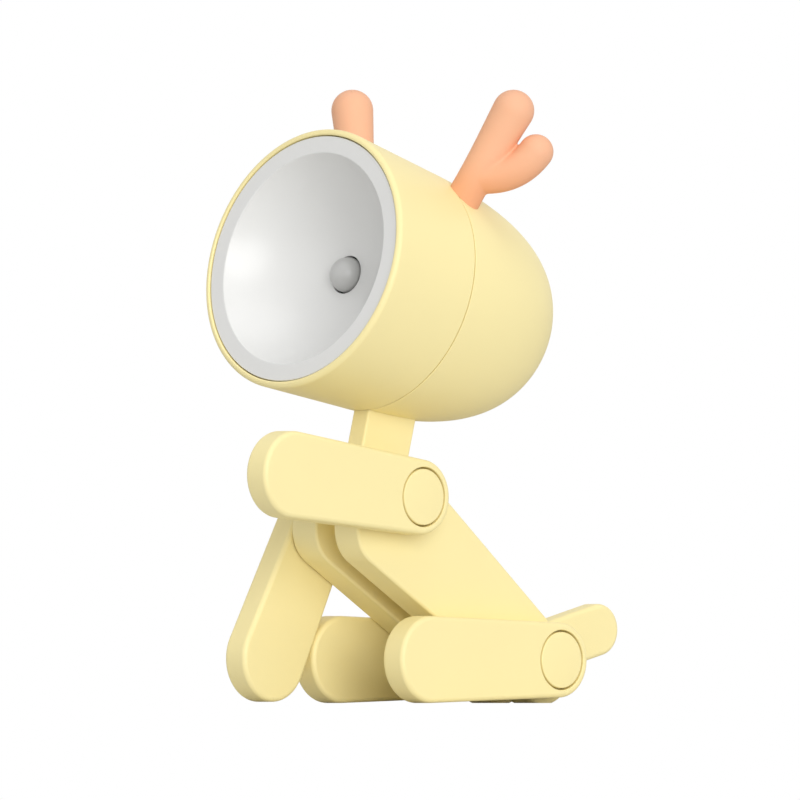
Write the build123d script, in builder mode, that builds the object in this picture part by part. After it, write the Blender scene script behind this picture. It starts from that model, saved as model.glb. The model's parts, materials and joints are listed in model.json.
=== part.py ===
"""Folding animal night light: a lamp head on a neck, a torso of two plates, four legs and a tail.

Millimetres, +Z up. The lamp looks along -Y and its own left side is +X. The origin is the middle
of its footprint on the table. The pose is one bent front leg raised and both hind legs laid flat.
"""
import os
from math import asin, cos, degrees, pi, radians, sin, sqrt, tan

from build123d import *

os.makedirs("parts", exist_ok=True)

# Torso
torso_radius = 7.1
plate_thickness = 6.4
hip_height = 7.9
chest_forward = 4.5
chest_drop = 5.9
heel_back = 1.2
heel_sink = 0.3
plate_round = 0.55

# Legs and tail
leg_pivot_radius = 6.9
leg_tip_radius = 8.0
leg_reach = 33.45
raised_leg_lift = 7.1
standing_leg_lift = -62.4
foot_clearance = 0.22
feet_gap = 0.17
edge_round = 0.9
tail_width = 9.5
tail_reach = 23.0
tail_lift = 14.0
bar_thickness = 4.2
bar_gap = 0.175

# Pivots
axle_radius = 1.75
axle_clearance = 0.05
washer_radius = 4.2
washer_thickness = 0.6
leg_gap = 0.2
leg_web = 1.9
nut_flats = 5.5
nut_thickness = 1.1
outer_washer_thickness = 0.4
cap_brim = 1.0
cap_thickness = 1.2
cap_gap = 0.3
nut_clearance = 0.4
nut_headroom = 0.3
cap_ring_wall = 0.6
cap_ring_depth = 0.8
cap_round = 0.25
running_gap = 0.05

# Neck
neck_width = 12.3
neck_clearance = 0.15
neck_inset = 0.05
neck_rise = 14.8
neck_tab_depth = 10.2
neck_edge = 0.5
neck_screw_radius = 1.0
neck_screw_spread = 6.0
neck_screw_inset = 2.8
screw_head_ratio = 1.9
screw_head_height = 1.2
screw_clearance = 0.05

# Head shells
head_tilt = 15.0
rim_radius = 24.75
rim_wall = 1.25
parting_depth = 22.0
head_taper = 4.21
parting_gap = 0.25
shell_wall = 1.8
rim_round = 0.9
rim_inner_round = 0.25
dome_depth = 35.2
dome_shoulder = 27.6
dome_crown = 14.3
lip_depth = 3.0
lip_wall = 1.1
lip_clearance = 0.1
rib_thickness = 2.2
rib_bite = 1.0

# Reflector, LED and board
flange_inset = 0.3
flange_thickness = 1.6
flange_gap = 0.2
flange_width = 3.65
ledge_width = 1.4
ledge_thickness = 1.5
bowl_depth = 11.1
bowl_wall = 1.2
led_radius = 3.3
led_gap = 0.45
led_body = 3.4
led_foot = 0.9
led_foot_height = 1.0
lead_radius = 0.3
lead_pitch = 2.54
lead_clearance = 0.1
board_margin = 2.8
board_thickness = 1.2
boss_radius = 2.2
boss_inset = 0.7
boss_spread = 8.0
boss_count = 3
board_screw_radius = 0.8
board_screw_length = 5.0

# Battery
cell_radius = 5.8
cell_height = 5.4
cell_count = 3
cell_clearance = 0.2
holder_wall = 1.3
contact_thickness = 0.3
spring_height = 1.6

# Power button and switch
button_radius = 4.0
button_proud = 0.9
button_travel = 1.0
button_stem = 1.6
button_flange = 1.0
button_flange_height = 1.2
button_clearance = 0.15
guide_wall = 1.2
switch_height = 4.5
switch_clearance = 0.1
retainer_height = 1.2
spring_wall = 0.7
spring_length = 2.0
wire_radius = 0.55
wire_clearance = 1.6
wire_bend = 2.5
wire_gap = 0.4

# Antlers
antler_setback = 2.6
antler_spread = 36.8
antler_out = 9.0
antler_up = 15.7
antler_base_radius = 3.3
antler_waist_radius = 3.0
antler_waist_rise = 5.2
antler_swell_radius = 3.45
antler_swell_rise = 11.9
antler_tip_radius = 3.8
prong_radius = 3.2
fork_out = 2.3
fork_up = 3.6
prong_bend_out = 9.4
prong_bend_up = 4.8
prong_out = 13.2
prong_up = 8.15
antler_pin_radius = 1.6
antler_pin_length = 4.0
antler_pin_clearance = 0.1
antler_heading = 53.0

# Places worked out from the sizes above
stance = radians(-standing_leg_lift)
shoulder_height = foot_clearance + leg_tip_radius + leg_reach * sin(stance)
foot_drop = shoulder_height - leg_tip_radius
leg_widening = (leg_tip_radius - leg_pivot_radius) / leg_reach
shin_radius = leg_pivot_radius + leg_widening * foot_drop * sin(stance)
feet_apart = leg_tip_radius + shin_radius + feet_gap
spine_run = leg_reach + (feet_apart - foot_drop * cos(stance)) / sin(stance)
spine_rise = shoulder_height - hip_height
laid_leg_lift = degrees(asin((leg_tip_radius - hip_height) / leg_reach))
leg_lift = {
    "front_leg_left": raised_leg_lift,
    "front_leg_right": standing_leg_lift,
    "hind_leg_left": laid_leg_lift,
    "hind_leg_right": laid_leg_lift,
}
front_reach = spine_run + leg_reach * cos(radians(raised_leg_lift)) + leg_tip_radius
back_reach = tail_reach * cos(radians(tail_lift)) + tail_width / 2
hip = Vector(0, (front_reach - back_reach) / 2, hip_height)
shoulder = hip + Vector(0, -spine_run, spine_rise)
plate_inner = bar_thickness / 2 + bar_gap
plate_outer = plate_inner + plate_thickness
leg_inner = plate_outer + leg_gap
web_outer = plate_outer + washer_thickness + running_gap + leg_web
outer_washer_seat = web_outer + running_gap
nut_seat = outer_washer_seat + outer_washer_thickness
axle_end = nut_seat + nut_thickness
leg_outer = axle_end + nut_headroom + cap_thickness
leg_thickness = leg_outer - leg_inner
cap_ring_radius = nut_flats / 2 / cos(pi / 6) + nut_clearance + cap_ring_wall
cap_radius = cap_ring_radius + cap_brim
axle_bore = axle_radius + axle_clearance

tilt = radians(head_tilt)
taper = tan(radians(head_taper))
parting_radius = rim_radius - taper * parting_depth
neck_setback = parting_depth + neck_inset + neck_width / 2
head_height = neck_rise + parting_radius
rearward = Vector(0, cos(tilt), -sin(tilt))
upward = Vector(0, sin(tilt), cos(tilt))
rim_centre = shoulder + upward * head_height - rearward * neck_setback
head_axis = Axis(rim_centre, rearward)
head_side = Plane(origin=rim_centre, x_dir=rearward, z_dir=(1, 0, 0))
dome_end = parting_depth + dome_depth
dome_curve = (
    (dome_end, 0),
    (dome_end, dome_crown),
    (parting_depth + dome_shoulder, parting_radius - taper * dome_shoulder),
    (parting_depth, parting_radius),
)
rim_bore = rim_radius - rim_wall
flange_radius = rim_bore - flange_gap
bowl_mouth = flange_radius - flange_width
bowl_edge = flange_inset + flange_thickness / 2
bowl_radius = (bowl_mouth**2 + bowl_depth**2) / (2 * bowl_depth)
bowl_floor = bowl_edge + bowl_depth
led_hole = led_radius + led_gap
led_base = bowl_floor + led_body
board_front = led_base + led_foot_height
board_back = board_front + board_thickness
lip_root = parting_radius - shell_wall - lip_clearance
board_radius = lip_root - lip_wall - board_margin
boss_ring = board_radius - boss_radius - boss_inset
boss_drop = sqrt(boss_ring**2 - (boss_spread / 2)**2)
boss_places = [(0, boss_ring)]
boss_places += [
    ((place - boss_count / 2 + 1) * boss_spread, -boss_drop) for place in range(boss_count - 1)
]
screw_head_radius = board_screw_radius * screw_head_ratio
wire_pitch = 2 * (screw_head_radius + wire_radius + wire_gap)
neck_tab_end = parting_radius - neck_tab_depth
neck_screw_drop = neck_tab_end + neck_screw_inset
neck_screw_places = [
    (neck_setback + end * neck_screw_spread / 2, -neck_screw_drop) for end in (-1, 1)
]
slot_half = bar_thickness / 2 + neck_clearance
rib_outer = slot_half + rib_thickness
stack_length = cell_count * cell_height
holder_length = stack_length + spring_height + 2 * holder_wall + 2 * contact_thickness
holder_height = 2 * (cell_radius + cell_clearance + holder_wall)
cell_depth = board_back + holder_height / 2
wire_rise = holder_height / 2 + wire_clearance + wire_radius
antler_depth = parting_depth + antler_setback
guide_radius = button_radius + button_flange + button_clearance
button_face = dome_end + button_proud
flange_seat = dome_end - shell_wall - 2 * button_travel
switch_back = flange_seat - button_flange_height - button_travel - switch_clearance
switch_front = switch_back - switch_height


def side_plane(x, centre, angle=0.0, facing=1):
    """A plane square to X through a pivot; its local x points forward, lifted by angle."""
    turn = radians(angle)
    return Plane(
        origin=(x, centre.Y, centre.Z),
        x_dir=(0, -cos(turn), sin(turn)),
        z_dir=(facing, 0, 0),
    )


def head_section(depth):
    """A plane square to the head's axis, depth behind the rim; extruding by -t goes rearwards."""
    return Plane(origin=rim_centre + rearward * depth, x_dir=(1, 0, 0), z_dir=rearward * -1)


def shell_radius(depth):
    """Outer radius of the tapered front shell."""
    return rim_radius - taper * depth


def bowl_at(radius, thickness=0.0):
    """Depth of the reflector's bowl at a radius; thickness gives its back instead."""
    return bowl_floor - bowl_radius + sqrt((bowl_radius + thickness)**2 - radius**2)


def antler_root(side):
    """Where an antler's axis meets the head, high on one side just behind the parting line."""
    turn = radians(antler_spread)
    radius = shell_radius(antler_depth)
    across = Vector(side * radius * sin(turn), 0, 0)
    return rim_centre + rearward * antler_depth + across + upward * radius * cos(turn)


def antler_point(side, out, up):
    """A direction in the antler's own upright plane, which runs out and back from the head."""
    turn = radians(antler_heading)
    return Vector(side * out * sin(turn), out * cos(turn), up)


def antler_axis(side):
    """Direction of an antler's main tine."""
    return antler_point(side, antler_out, antler_up).normalized()


def save(piece, name):
    """Name a finished piece and write its file."""
    piece.label = name
    export_step(piece, f"parts/{name}.step")


# Outer form of the closed head, which trims the antlers' feet
with BuildPart() as head_form:
    with BuildSketch(head_side):
        with BuildLine():
            Polyline((parting_depth, parting_radius), (0, rim_radius), (0, 0), (dome_end, 0))
            Bezier(*dome_curve)
        make_face()
    revolve(axis=head_axis)

# Front shell: tapered tube with a rounded rim and a ledge that carries the reflector
ledge_depth = flange_inset + flange_thickness
ledge_back = ledge_depth + ledge_thickness
front_end = parting_depth - parting_gap
with BuildPart() as front_shell:
    with BuildSketch(head_side):
        with BuildLine():
            Polyline(
                (0, rim_bore),
                (0, rim_radius),
                (front_end, shell_radius(front_end)),
                (front_end, shell_radius(front_end) - shell_wall),
                (ledge_back, shell_radius(ledge_back) - shell_wall),
                (ledge_back, rim_bore - ledge_width),
                (ledge_depth, rim_bore - ledge_width),
                (ledge_depth, rim_bore),
                close=True,
            )
        make_face()
    revolve(axis=head_axis)
    rim_face = front_shell.faces().sort_by(head_axis)[0]
    fillet(rim_face.edges().sort_by(SortBy.RADIUS)[-1], rim_round)
    rim_face = front_shell.faces().sort_by(head_axis)[0]
    fillet(rim_face.edges().sort_by(SortBy.RADIUS)[0], rim_inner_round)
save(front_shell.part, "front_shell")

# Rear shell: dome with a locating lip, a slot and two ribs for the neck, and a guide for the button
lip_start = parting_depth - lip_depth
lip_outer = shell_radius(lip_start) - shell_wall - lip_clearance
dome_inner_end = dome_end - shell_wall
slot_front = lip_start
slot_back = neck_setback + neck_width / 2 + neck_clearance
rib_front = neck_setback - neck_width / 2 + rib_bite
rib_back = slot_back + rib_bite
rib_root = lip_root - rib_bite
guide_reach = dome_end - switch_front
with BuildPart() as rear_shell:
    with BuildSketch(head_side):
        with BuildLine():
            Line((dome_inner_end, 0), (dome_end, 0))
            Bezier(*dome_curve)
            Polyline(
                (parting_depth, parting_radius),
                (parting_depth, lip_root),
                (lip_start, lip_outer),
                (lip_start, lip_outer - lip_wall),
                (parting_depth, lip_root - lip_wall),
            )
            Bezier(
                (parting_depth, lip_root - lip_wall),
                (parting_depth + dome_shoulder - shell_wall, lip_root - lip_wall - taper * dome_shoulder),
                (dome_inner_end, dome_crown - shell_wall),
                (dome_inner_end, 0),
            )
        make_face()
    revolve(axis=head_axis)
    with BuildSketch(head_section(switch_front)):
        Circle(guide_radius + guide_wall)
    extrude(amount=-(guide_reach - shell_wall / 2))
    for side in (-1, 1):
        with BuildSketch(head_side.offset(side * slot_half)):
            with Locations(((rib_front + rib_back) / 2, -(neck_tab_end + rib_root) / 2)):
                Rectangle(rib_back - rib_front, rib_root - neck_tab_end)
        extrude(amount=side * rib_thickness)
    with BuildSketch(head_side):
        with Locations(((slot_front + slot_back) / 2, -(neck_tab_end + rim_radius) / 2)):
            Rectangle(slot_back - slot_front, rim_radius - neck_tab_end + neck_clearance)
    extrude(amount=slot_half, both=True, mode=Mode.SUBTRACT)
    with BuildSketch(head_side):
        with Locations(*neck_screw_places):
            Circle(neck_screw_radius + screw_clearance)
    extrude(amount=rib_outer, both=True, mode=Mode.SUBTRACT)
    with BuildSketch(head_section(switch_front)):
        Circle(guide_radius)
    extrude(amount=-(flange_seat - switch_front), mode=Mode.SUBTRACT)
    with BuildSketch(head_section(switch_front)):
        Circle(button_radius + button_clearance)
    extrude(amount=-guide_reach - shell_wall, mode=Mode.SUBTRACT)
    for side in (-1, 1):
        with BuildSketch(Plane(antler_root(side), z_dir=antler_axis(side))):
            Circle(antler_pin_radius + antler_pin_clearance)
        extrude(amount=2 * antler_pin_length, both=True, mode=Mode.SUBTRACT)
save(rear_shell.part, "rear_shell")

# Reflector: flat flange ring, round bowl, LED hole and bosses for the board
bowl_middle = (bowl_mouth + led_hole) / 2
flange_back = flange_inset + flange_thickness
bowl_back_rim = sqrt((bowl_radius + bowl_wall)**2 - (flange_back - bowl_floor + bowl_radius)**2)
bowl_back_middle = (bowl_back_rim + led_hole) / 2
boss_start = bowl_at(boss_ring + boss_radius) + bowl_wall / 2
with BuildPart() as reflector:
    with BuildSketch(head_section(boss_start)):
        with Locations(*boss_places):
            Circle(boss_radius)
    extrude(amount=boss_start - board_front)
    with BuildSketch(head_side):
        with BuildLine():
            Polyline(
                (bowl_edge, bowl_mouth),
                (flange_inset, bowl_mouth),
                (flange_inset, flange_radius),
                (flange_back, flange_radius),
                (flange_back, bowl_back_rim),
            )
            ThreePointArc(
                (flange_back, bowl_back_rim),
                (bowl_at(bowl_back_middle, bowl_wall), bowl_back_middle),
                (bowl_at(led_hole, bowl_wall), led_hole),
            )
            Line((bowl_at(led_hole, bowl_wall), led_hole), (bowl_at(led_hole), led_hole))
            ThreePointArc(
                (bowl_at(led_hole), led_hole),
                (bowl_at(bowl_middle), bowl_middle),
                (bowl_edge, bowl_mouth),
            )
        make_face()
    revolve(axis=head_axis)
    with BuildSketch(head_side):
        with BuildLine():
            Polyline(
                (bowl_edge, bowl_mouth),
                (bowl_edge, 0),
                (bowl_at(led_hole), 0),
                (bowl_at(led_hole), led_hole),
            )
            ThreePointArc(
                (bowl_at(led_hole), led_hole),
                (bowl_at(bowl_middle), bowl_middle),
                (bowl_edge, bowl_mouth),
            )
        make_face()
    revolve(axis=head_axis, mode=Mode.SUBTRACT)
    with BuildSketch(head_section(board_front)):
        with Locations(*boss_places):
            Circle(board_screw_radius + screw_clearance)
    extrude(amount=board_screw_length, mode=Mode.SUBTRACT)
save(reflector.part, "reflector")

# LED: domed body that fills the reflector's hole, on a wider foot
with BuildPart() as led:
    with BuildSketch(head_side):
        with BuildLine():
            Polyline(
                (bowl_floor, led_radius),
                (led_base, led_radius),
                (led_base, led_radius + led_foot),
                (board_front, led_radius + led_foot),
                (board_front, 0),
                (bowl_floor - led_radius, 0),
            )
            RadiusArc((bowl_floor - led_radius, 0), (bowl_floor, led_radius), led_radius)
        make_face()
    revolve(axis=head_axis)
save(led.part, "led")

# LED leads through the board
with BuildPart() as led_leads:
    with BuildSketch(head_section(board_front)):
        with GridLocations(lead_pitch, 0, 2, 1):
            Circle(lead_radius)
    extrude(amount=-board_thickness)
save(led_leads.part, "led_leads")

# Round lamp board with holes for the leads and its screws
with BuildPart() as lamp_board:
    with BuildSketch(head_section(board_front)):
        Circle(board_radius)
        with GridLocations(lead_pitch, 0, 2, 1):
            Circle(lead_radius + lead_clearance, mode=Mode.SUBTRACT)
        with Locations(*boss_places):
            Circle(board_screw_radius + screw_clearance, mode=Mode.SUBTRACT)
    extrude(amount=-board_thickness)
save(lamp_board.part, "lamp_board")

# Board screws
with BuildPart() as board_screws:
    with BuildSketch(head_section(board_back)):
        with Locations(*boss_places):
            Circle(board_screw_radius)
    extrude(amount=board_thickness + board_screw_length - screw_clearance)
    with BuildSketch(head_section(board_back)):
        with Locations(*boss_places):
            Circle(screw_head_radius)
    extrude(amount=-screw_head_height)
save(board_screws.part, "board_screws")

# Battery holder: tray behind the board, open to the rear, with the cells lying across it
tray_inner = holder_length / 2 - holder_wall
cell_bore = cell_radius + cell_clearance
with BuildPart() as battery_holder:
    with BuildSketch(head_section(board_back)):
        Rectangle(holder_length, holder_height)
    extrude(amount=-holder_height)
    with BuildSketch(head_side):
        with Locations((cell_depth, 0)):
            Circle(cell_bore)
        with Locations((cell_depth + holder_height / 4, 0)):
            Rectangle(holder_height / 2, 2 * cell_bore)
    extrude(amount=tray_inner, both=True, mode=Mode.SUBTRACT)
save(battery_holder.part, "battery_holder")

# Three button cells in a stack
first_cell = -tray_inner + contact_thickness + spring_height
with BuildPart() as button_cells:
    for place in range(cell_count):
        with BuildSketch(head_side.offset(first_cell + place * cell_height)):
            with Locations((cell_depth, 0)):
                Circle(cell_radius)
        extrude(amount=cell_height - running_gap)
save(button_cells.part, "button_cells")

# Flat contact at one end of the stack and a spring contact at the other
with BuildPart() as battery_contact:
    with BuildSketch(head_side.offset(tray_inner - contact_thickness)):
        with Locations((cell_depth, 0)):
            Circle(cell_radius)
    extrude(amount=contact_thickness)
save(battery_contact.part, "battery_contact")

with BuildPart() as battery_spring:
    with BuildSketch(head_side.offset(-tray_inner)):
        with Locations((cell_depth, 0)):
            Circle(cell_radius)
    extrude(amount=contact_thickness)
    with BuildSketch(head_side.offset(-tray_inner + contact_thickness)):
        with Locations((cell_depth, 0)):
            Circle(cell_radius / 2)
    extrude(amount=spring_height)
save(battery_spring.part, "battery_spring")

# Power button at the rear of the dome: rounded cap, stop flange and stem
stem_end = switch_back - 2 * button_travel
with BuildPart() as power_button:
    with BuildSketch(head_section(button_face)):
        Circle(button_radius)
    extrude(amount=button_face - flange_seat)
    fillet(power_button.faces().sort_by(head_axis)[-1].edges(), button_proud / 2)
    with BuildSketch(head_section(flange_seat)):
        Circle(button_radius + button_flange)
    extrude(amount=button_flange_height)
    with BuildSketch(head_section(flange_seat)):
        Circle(button_stem)
    extrude(amount=flange_seat - stem_end)
save(power_button.part, "power_button")

# Push switch in the guide, bored for the button's stem and its spring
spring_bore = button_stem + button_clearance + spring_wall + 2 * switch_clearance
spring_floor = switch_back - spring_length
with BuildPart() as switch_body:
    with BuildSketch(head_section(switch_back)):
        Circle(guide_radius - switch_clearance)
        Circle(button_stem + button_clearance, mode=Mode.SUBTRACT)
    extrude(amount=switch_height)
    with BuildSketch(head_section(switch_back)):
        Circle(spring_bore)
    extrude(amount=spring_length, mode=Mode.SUBTRACT)
save(switch_body.part, "switch_body")

# Return spring, drawn as the sleeve that its coils fill when the button is pressed
with BuildPart() as button_spring:
    with BuildSketch(head_section(spring_floor)):
        Circle(spring_bore - switch_clearance)
        Circle(button_stem + button_clearance, mode=Mode.SUBTRACT)
    extrude(amount=-spring_length)
save(button_spring.part, "button_spring")

# Ring that keeps the switch in the guide
with BuildPart() as switch_retainer:
    with BuildSketch(head_section(switch_front)):
        Circle(guide_radius + guide_wall)
        Circle(guide_radius - guide_wall, mode=Mode.SUBTRACT)
    extrude(amount=retainer_height)
save(switch_retainer.part, "switch_retainer")

# Two wires from the switch over the battery to the board
wire_drop = (guide_radius - guide_wall) / 3
wire_start = switch_front - 2 * wire_bend
with BuildPart() as switch_wires:
    for side in (-1, 1):
        with BuildLine(head_side.offset(side * wire_pitch / 2)):
            FilletPolyline(
                (switch_front, wire_drop),
                (wire_start, wire_drop),
                (wire_start, wire_rise),
                (board_back, wire_rise),
                radius=wire_bend,
            )
        wire_mouth = head_section(switch_front)
        with BuildSketch(wire_mouth):
            with Locations((side * wire_pitch / 2, wire_drop)):
                Circle(wire_radius)
        sweep()
save(switch_wires.part, "switch_wires")

# Antlers: a waisted main tine and a curved prong, trimmed to the head, with a pin into the rear shell
for side, name in ((1, "antler_left"), (-1, "antler_right")):
    root = antler_root(side)
    main_axis = antler_axis(side)
    main_end = root + antler_point(side, antler_out, antler_up)
    foot = root - main_axis * antler_base_radius
    main_length = (main_end - foot).length
    main_top = main_length + antler_tip_radius
    outward = antler_point(side, 1, 0)
    normal = outward.cross(Vector(0, 0, 1))
    prong_end = root + antler_point(side, prong_out, prong_up)
    with BuildPart() as antler:
        with BuildSketch(Plane(foot, x_dir=main_axis, z_dir=normal)):
            with BuildLine():
                Line((0, 0), (0, antler_base_radius))
                Spline(
                    (0, antler_base_radius),
                    (antler_base_radius + antler_waist_rise, antler_waist_radius),
                    (antler_base_radius + antler_swell_rise, antler_swell_radius),
                    (main_length, antler_tip_radius),
                )
                RadiusArc((main_length, antler_tip_radius), (main_top, 0), antler_tip_radius)
                Line((main_top, 0), (0, 0))
            make_face()
        revolve(axis=Axis(foot, main_axis))
        with BuildLine(Plane(root, x_dir=outward, z_dir=normal)) as prong_line:
            ThreePointArc((fork_out, fork_up), (prong_bend_out, prong_bend_up), (prong_out, prong_up))
        with BuildSketch(Plane(prong_line.line @ 0, z_dir=prong_line.line % 0)):
            Circle(prong_radius)
        sweep()
        with Locations(prong_end):
            Sphere(prong_radius)
        add(head_form.part, mode=Mode.SUBTRACT)
        with BuildSketch(Plane(root, z_dir=main_axis)):
            Circle(antler_pin_radius)
        extrude(amount=-antler_pin_length)
    save(antler.part, name)

# Neck: flat bar from the shoulder axle up into the rear shell, with two screw holes in its tab
neck_side = Plane(origin=shoulder, x_dir=rearward, z_dir=(1, 0, 0))
neck_half = neck_width / 2
neck_top = head_height - neck_tab_end
screw_height = head_height - neck_screw_drop
with BuildPart() as neck:
    with BuildSketch(neck_side):
        with BuildLine():
            Polyline((-neck_half, 0), (-neck_half, neck_top), (neck_half, neck_top), (neck_half, 0))
            ThreePointArc((neck_half, 0), (0, -neck_half), (-neck_half, 0))
        make_face()
    extrude(amount=bar_thickness / 2, both=True)
    fillet(neck.faces().filter_by(Axis.X).edges(), neck_edge)
    with BuildSketch(neck_side):
        Circle(axle_bore)
        with GridLocations(neck_screw_spread, 0, 2, 1):
            with Locations((0, screw_height)):
                Circle(neck_screw_radius + screw_clearance)
    extrude(amount=bar_thickness, both=True, mode=Mode.SUBTRACT)
save(neck.part, "neck")

# Two screws that clamp the neck's tab between the rear shell's ribs
with BuildPart() as neck_screws:
    with BuildSketch(head_side.offset(-rib_outer)):
        with Locations(*neck_screw_places):
            Circle(neck_screw_radius)
    extrude(amount=2 * rib_outer)
    with BuildSketch(head_side.offset(rib_outer)):
        with Locations(*neck_screw_places):
            Circle(neck_screw_radius * screw_head_ratio)
    extrude(amount=screw_head_height)
save(neck_screws.part, "neck_screws")

# Torso plates: three equal rounded corners at the shoulder, the chest and the heel, flat underneath
heel_drop = hip_height + heel_sink - torso_radius
corners = (
    (shoulder.Y, shoulder.Z),
    (shoulder.Y - chest_forward, shoulder.Z - chest_drop),
    (hip.Y + heel_back, hip.Z - heel_drop),
)
for side, name in ((1, "body_plate_left"), (-1, "body_plate_right")):
    with BuildPart() as plate:
        with BuildSketch(Plane.YZ.offset(side * plate_inner)):
            Polygon(*corners, align=None)
            offset(amount=torso_radius, kind=Kind.ARC)
            with Locations((hip.Y, 0)):
                Rectangle(
                    4 * torso_radius,
                    2 * torso_radius,
                    align=(Align.CENTER, Align.MAX),
                    mode=Mode.SUBTRACT,
                )
        extrude(amount=side * plate_thickness)
        fillet(plate.faces().filter_by(Axis.X).edges(), plate_round)
        with BuildSketch(Plane.YZ.offset(side * plate_inner)):
            with Locations((shoulder.Y, shoulder.Z), (hip.Y, hip.Z)):
                Circle(axle_bore)
        extrude(amount=side * plate_thickness, mode=Mode.SUBTRACT)
    save(plate.part, name)

# Axles, fixed through the plates
for centre, name in ((shoulder, "shoulder_axle"), (hip, "hip_axle")):
    with BuildPart() as axle:
        with BuildSketch(side_plane(0, centre)):
            Circle(axle_radius)
        extrude(amount=axle_end, both=True)
        chamfer(axle.edges().filter_by(GeomType.CIRCLE), axle_clearance * 4)
    save(axle.part, name)

# Friction washers between plates and legs, washers under the nuts, and the nuts
pivots = [(side, centre) for side in (-1, 1) for centre in (shoulder, hip)]
with BuildPart() as friction_washers:
    for side, centre in pivots:
        with BuildSketch(side_plane(side * plate_outer, centre, facing=side)):
            Circle(washer_radius)
            Circle(axle_bore, mode=Mode.SUBTRACT)
        extrude(amount=washer_thickness)
save(friction_washers.part, "friction_washers")

with BuildPart() as nut_washers:
    for side, centre in pivots:
        with BuildSketch(side_plane(side * outer_washer_seat, centre, facing=side)):
            Circle(nut_flats / 2)
            Circle(axle_bore, mode=Mode.SUBTRACT)
        extrude(amount=outer_washer_thickness)
save(nut_washers.part, "nut_washers")

with BuildPart() as axle_nuts:
    for side, centre in pivots:
        with BuildSketch(side_plane(side * nut_seat, centre, facing=side)):
            RegularPolygon(nut_flats / 2, 6, major_radius=False)
            Circle(axle_bore, mode=Mode.SUBTRACT)
        extrude(amount=nut_thickness)
save(axle_nuts.part, "axle_nuts")

# Legs: tapered round-ended bars that turn on the axles, each with a snap-in cap
slope = -leg_widening
square = sqrt(1 - slope**2)
foot_start = (leg_pivot_radius * slope, leg_pivot_radius * square)
foot_end = (leg_reach + leg_tip_radius * slope, leg_tip_radius * square)
washer_recess = washer_thickness + running_gap - leg_gap
nut_room = leg_outer - web_outer
for name, lift in leg_lift.items():
    side = 1 if name.endswith("left") else -1
    centre = shoulder if name.startswith("front") else hip
    inside = side_plane(side * leg_inner, centre, lift, side)
    outside = inside.offset(leg_thickness)
    with BuildPart() as leg:
        with BuildSketch(inside):
            with BuildLine():
                Line(foot_start, foot_end)
                ThreePointArc(foot_end, (leg_reach + leg_tip_radius, 0), (foot_end[0], -foot_end[1]))
                Line((foot_end[0], -foot_end[1]), (foot_start[0], -foot_start[1]))
                ThreePointArc((foot_start[0], -foot_start[1]), (-leg_pivot_radius, 0), foot_start)
            make_face()
        extrude(amount=leg_thickness)
        fillet(leg.faces().filter_by(Axis.X).edges(), edge_round)
        with BuildSketch(inside):
            Circle(axle_bore)
        extrude(amount=leg_thickness, mode=Mode.SUBTRACT)
        with BuildSketch(inside):
            Circle(washer_radius + running_gap)
        extrude(amount=washer_recess, mode=Mode.SUBTRACT)
        with BuildSketch(outside):
            Circle(cap_ring_radius + running_gap)
        extrude(amount=-nut_room, mode=Mode.SUBTRACT)
        with BuildSketch(outside):
            Circle(cap_radius + cap_gap)
        extrude(amount=-cap_thickness, mode=Mode.SUBTRACT)
    save(leg.part, name)
    cap_name = name.replace("front_leg", "shoulder_cap").replace("hind_leg", "hip_cap")
    with BuildPart() as cap:
        with BuildSketch(outside):
            Circle(cap_radius)
        extrude(amount=-cap_thickness)
        fillet(cap.faces().sort_by(Axis(centre, (side, 0, 0)))[-1].edges(), cap_round)
        with BuildSketch(outside.offset(-cap_thickness)):
            Circle(cap_ring_radius)
            Circle(cap_ring_radius - cap_ring_wall, mode=Mode.SUBTRACT)
        extrude(amount=-cap_ring_depth)
    save(cap.part, cap_name)

# Tail: a flat bar on the hip axle
tail_plane = Plane(
    origin=hip,
    x_dir=(0, cos(radians(tail_lift)), sin(radians(tail_lift))),
    z_dir=(1, 0, 0),
)
with BuildPart() as tail:
    with BuildSketch(tail_plane):
        with Locations((tail_reach / 2, 0)):
            SlotCenterToCenter(tail_reach, tail_width)
    extrude(amount=bar_thickness / 2, both=True)
    fillet(tail.faces().filter_by(Axis.X).edges(), edge_round)
    with BuildSketch(tail_plane):
        Circle(axle_bore)
    extrude(amount=bar_thickness, both=True, mode=Mode.SUBTRACT)
save(tail.part, "tail")
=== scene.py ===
"""Looks of a folding animal night light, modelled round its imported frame.

Metres, in the frame's own axes: +Z up, the lamp looks along -Y and its own left side is +X.
"""
import json
from math import acos, asin, atan2, cos, degrees, hypot, pi, radians, sin, sqrt, tan

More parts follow.
